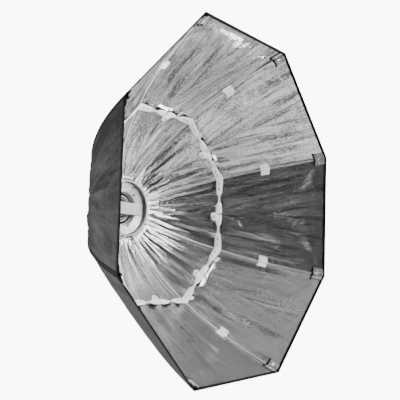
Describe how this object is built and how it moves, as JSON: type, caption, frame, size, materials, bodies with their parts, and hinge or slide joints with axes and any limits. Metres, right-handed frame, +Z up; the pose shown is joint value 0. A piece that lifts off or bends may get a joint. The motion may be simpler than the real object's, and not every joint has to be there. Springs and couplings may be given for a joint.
{
  "type": "studio softbox",
  "caption": "Octagonal softbox with a silver lining: a speed ring with a turning insert and cap, and hinged steel rods that spread the fabric and fold forwards.",
  "frame": {"origin": "centre of the insert's rear face, where the lamp head holds the softbox", "axes": "Y is the softbox's axis, its mouth faces -Y and the lamp is at +Y; +Z is up, with a flat side of the octagon on top"},
  "size_m": [0.884, 0.4506, 0.884],
  "materials": {
    "ring_metal": "satin cast and turned",
    "dark_metal": "satin black",
    "spring_steel": "bright drawn wire",
    "white_plastic": "satin",
    "grey_plastic": "satin",
    "slip_plastic": "smooth",
    "lined_fabric": "black woven outside, metallised silver inside",
    "black_elastic": "woven",
    "white_webbing": "woven",
    "grey_webbing": "woven"
  },
  "bodies": {
    "insert": {"insert_ring": "ring_metal", "retaining_ring": "dark_metal"},
    "ring": {"ring_body": "ring_metal", "pivot_cover": "dark_metal", "fabric_collar": "black_elastic", "friction_ring": "slip_plastic", "collar_hook_1": "spring_steel", "collar_hook_2": "spring_steel", "collar_hook_3": "spring_steel", "collar_hook_4": "spring_steel"},
    "cap": {"cap_cup": "grey_plastic", "cap_grip_bar": "ring_metal"},
    "arm_1": {"rod_socket_1": "white_plastic", "rod_1": "spring_steel", "fabric_panel_1": "lined_fabric", "strap_1": "white_webbing", "rod_keeper_1": "white_webbing", "corner_pocket_1": "grey_webbing"},
    "arm_2": {"rod_socket_2": "white_plastic", "rod_2": "spring_steel", "fabric_panel_2": "lined_fabric", "strap_2": "white_webbing", "rod_keeper_2": "white_webbing", "corner_pocket_2": "grey_webbing"},
    "arm_3": {"rod_socket_3": "white_plastic", "rod_3": "spring_steel", "fabric_panel_3": "lined_fabric", "strap_3": "white_webbing", "rod_keeper_3": "white_webbing", "corner_pocket_3": "grey_webbing"},
    "arm_4": {"rod_socket_4": "white_plastic", "rod_4": "spring_steel", "fabric_panel_4": "lined_fabric", "strap_4": "white_webbing", "rod_keeper_4": "white_webbing", "corner_pocket_4": "grey_webbing"},
    "arm_5": {"rod_socket_5": "white_plastic", "rod_5": "spring_steel", "fabric_panel_5": "lined_fabric", "strap_5": "white_webbing", "rod_keeper_5": "white_webbing", "corner_pocket_5": "grey_webbing"},
    "arm_6": {"rod_socket_6": "white_plastic", "rod_6": "spring_steel", "fabric_panel_6": "lined_fabric", "strap_6": "white_webbing", "rod_keeper_6": "white_webbing", "corner_pocket_6": "grey_webbing"},
    "arm_7": {"rod_socket_7": "white_plastic", "rod_7": "spring_steel", "fabric_panel_7": "lined_fabric", "strap_7": "white_webbing", "rod_keeper_7": "white_webbing", "corner_pocket_7": "grey_webbing"},
    "arm_8": {"rod_socket_8": "white_plastic", "rod_8": "spring_steel", "fabric_panel_8": "lined_fabric", "strap_8": "white_webbing", "rod_keeper_8": "white_webbing", "corner_pocket_8": "grey_webbing"}
  },
  "joints": [
    {"name": "box_turn", "type": "hinge", "parent": "insert", "child": "ring", "pos_m": [0, -0.012, 0], "axis": [0, 1, 0], "continuous": true},
    {"name": "cap_turn", "type": "hinge", "parent": "insert", "child": "cap", "pos_m": [0, -0.012, 0], "axis": [0, 1, 0], "range_deg": [0, 70]},
    {"name": "fold_1", "type": "hinge", "parent": "ring", "child": "arm_1", "pos_m": [0.08365, -0.0317, 0.03465], "axis": [0.3827, 0, -0.9239], "range_deg": [0, 40], "deforming": ["fabric_panel_1", "strap_1"]},
    {"name": "fold_2", "type": "hinge", "parent": "ring", "child": "arm_2", "pos_m": [0.03465, -0.0317, 0.08365], "axis": [0.9239, 0, -0.3827], "range_deg": [0, 40], "deforming": ["fabric_panel_2", "strap_2"]},
    {"name": "fold_3", "type": "hinge", "parent": "ring", "child": "arm_3", "pos_m": [-0.03465, -0.0317, 0.08365], "axis": [0.9239, 0, 0.3827], "range_deg": [0, 40], "deforming": ["fabric_panel_3", "strap_3"]},
    {"name": "fold_4", "type": "hinge", "parent": "ring", "child": "arm_4", "pos_m": [-0.08365, -0.0317, 0.03465], "axis": [0.3827, 0, 0.9239], "range_deg": [0, 40], "deforming": ["fabric_panel_4", "strap_4"]},
    {"name": "fold_5", "type": "hinge", "parent": "ring", "child": "arm_5", "pos_m": [-0.08365, -0.0317, -0.03465], "axis": [-0.3827, 0, 0.9239], "range_deg": [0, 40], "deforming": ["fabric_panel_5", "strap_5"]},
    {"name": "fold_6", "type": "hinge", "parent": "ring", "child": "arm_6", "pos_m": [-0.03465, -0.0317, -0.08365], "axis": [-0.9239, 0, 0.3827], "range_deg": [0, 40], "deforming": ["fabric_panel_6", "strap_6"]},
    {"name": "fold_7", "type": "hinge", "parent": "ring", "child": "arm_7", "pos_m": [0.03465, -0.0317, -0.08365], "axis": [-0.9239, 0, -0.3827], "range_deg": [0, 40], "deforming": ["fabric_panel_7", "strap_7"]},
    {"name": "fold_8", "type": "hinge", "parent": "ring", "child": "arm_8", "pos_m": [0.08365, -0.0317, -0.03465], "axis": [-0.3827, 0, -0.9239], "range_deg": [0, 40], "deforming": ["fabric_panel_8", "strap_8"]}
  ],
  "couplings": [
    {"joint": "fold_2", "follows": "fold_1", "ratio": 1},
    {"joint": "fold_3", "follows": "fold_1", "ratio": 1},
    {"joint": "fold_4", "follows": "fold_1", "ratio": 1},
    {"joint": "fold_5", "follows": "fold_1", "ratio": 1},
    {"joint": "fold_6", "follows": "fold_1", "ratio": 1},
    {"joint": "fold_7", "follows": "fold_1", "ratio": 1},
    {"joint": "fold_8", "follows": "fold_1", "ratio": 1}
  ]
}
